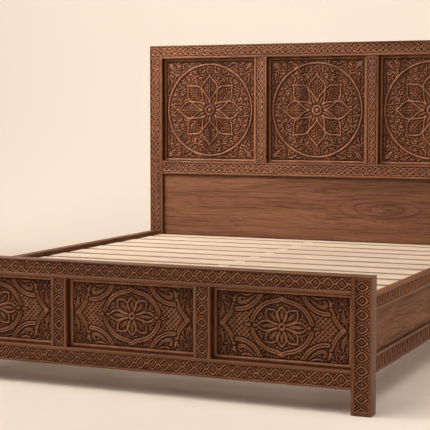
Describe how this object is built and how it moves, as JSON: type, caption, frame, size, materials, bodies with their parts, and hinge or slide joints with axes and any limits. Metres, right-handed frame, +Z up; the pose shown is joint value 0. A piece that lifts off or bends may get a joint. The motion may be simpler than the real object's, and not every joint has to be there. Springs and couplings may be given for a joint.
{
  "type": "carved wooden bed frame",
  "caption": "Carved dark wood bed frame with framed and panelled head and foot boards, banded side rails and a slatted deck that carries a wide mattress.",
  "frame": {"origin": "centre of the bed's footprint, on the floor", "axes": "+X across the bed to the right seen from the foot end, +Y from the foot end to the head end, +Z up"},
  "size_m": [1.92, 2.162, 1.43],
  "materials": {
    "carved_wood": "carved, dark stain in the recesses, satin",
    "plain_wood": "planed, oiled, satin",
    "pale_wood": "planed, unfinished pine",
    "bracket_steel": "zinc plated",
    "glide_plastic": "moulded"
  },
  "bodies": {
    "root": {"head_post_left": "carved_wood", "head_post_right": "carved_wood", "head_top_rail": "carved_wood", "head_mid_rail": "carved_wood", "head_bottom_rail": "plain_wood", "head_muntin_left": "carved_wood", "head_muntin_right": "carved_wood", "head_panel_left": "carved_wood", "head_panel_centre": "carved_wood", "head_panel_right": "carved_wood", "head_plain_panel": "plain_wood", "foot_post_left": "carved_wood", "foot_post_right": "carved_wood", "foot_top_rail": "carved_wood", "foot_bottom_rail": "carved_wood", "foot_muntin_left": "carved_wood", "foot_muntin_right": "carved_wood", "foot_panel_left": "carved_wood", "foot_panel_centre": "carved_wood", "foot_panel_right": "carved_wood", "side_rail_left": "plain_wood", "side_rail_left_upper_band": "carved_wood", "side_rail_left_lower_band": "carved_wood", "side_rail_right": "plain_wood", "side_rail_right_upper_band": "carved_wood", "side_rail_right_lower_band": "carved_wood", "post_plate_head_left": "bracket_steel", "post_plate_head_right": "bracket_steel", "post_plate_foot_left": "bracket_steel", "post_plate_foot_right": "bracket_steel", "rail_hook_head_left": "bracket_steel", "rail_hook_head_right": "bracket_steel", "rail_hook_foot_left": "bracket_steel", "rail_hook_foot_right": "bracket_steel", "side_ledger_left": "pale_wood", "side_ledger_right": "pale_wood", "head_ledger": "pale_wood", "foot_ledger": "pale_wood", "centre_beam": "pale_wood", "centre_leg_head": "plain_wood", "centre_leg_foot": "plain_wood", "leg_glide_head": "glide_plastic", "leg_glide_foot": "glide_plastic", "slat_01": "pale_wood", "slat_02": "pale_wood", "slat_03": "pale_wood", "slat_04": "pale_wood", "slat_05": "pale_wood", "slat_06": "pale_wood", "slat_07": "pale_wood", "slat_08": "pale_wood", "slat_09": "pale_wood", "slat_10": "pale_wood", "slat_11": "pale_wood", "slat_12": "pale_wood"}
  },
  "joints": []
}
